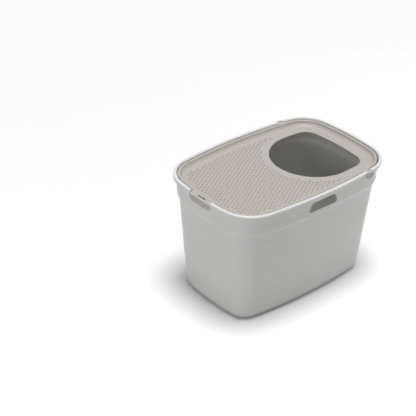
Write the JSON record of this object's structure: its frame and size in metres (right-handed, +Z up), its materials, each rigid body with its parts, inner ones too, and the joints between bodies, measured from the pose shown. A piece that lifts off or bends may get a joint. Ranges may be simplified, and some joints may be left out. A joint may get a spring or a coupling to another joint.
{
  "type": "top entry litter box",
  "caption": "Deep tapered plastic tub with a rolled rim and handle slots, closed by a hinged lid with a D-shaped top entry and an end latch.",
  "frame": {"origin": "middle of the base, on the floor", "axes": "+X along the box towards the entry opening's end, +Y towards the far long side, +Z up; the latch is at the -X end"},
  "size_m": [0.5837, 0.394, 0.374],
  "materials": {
    "tub_plastic": "satin moulded polypropylene, light neutral grey",
    "lid_plastic": "satin moulded polypropylene, warm beige grey"
  },
  "bodies": {
    "tub": {"tub": "tub_plastic"},
    "lid": {"lid": "lid_plastic", "hinge_ear_near": "lid_plastic", "hinge_ear_far": "lid_plastic"},
    "latch": {"latch_tab": "lid_plastic"}
  },
  "joints": [
    {"name": "lid_hinge", "type": "hinge", "parent": "tub", "child": "lid", "pos_m": [0.174, 0, 0.367], "axis": [0, 1, 0], "range_deg": [0, 105]},
    {"name": "latch_flex", "type": "hinge", "parent": "lid", "child": "latch", "pos_m": [-0.2793, 0, 0.3715], "axis": [0, 1, 0], "range_deg": [0, 10], "stiffness_Nm_per_rad": 0.3}
  ]
}
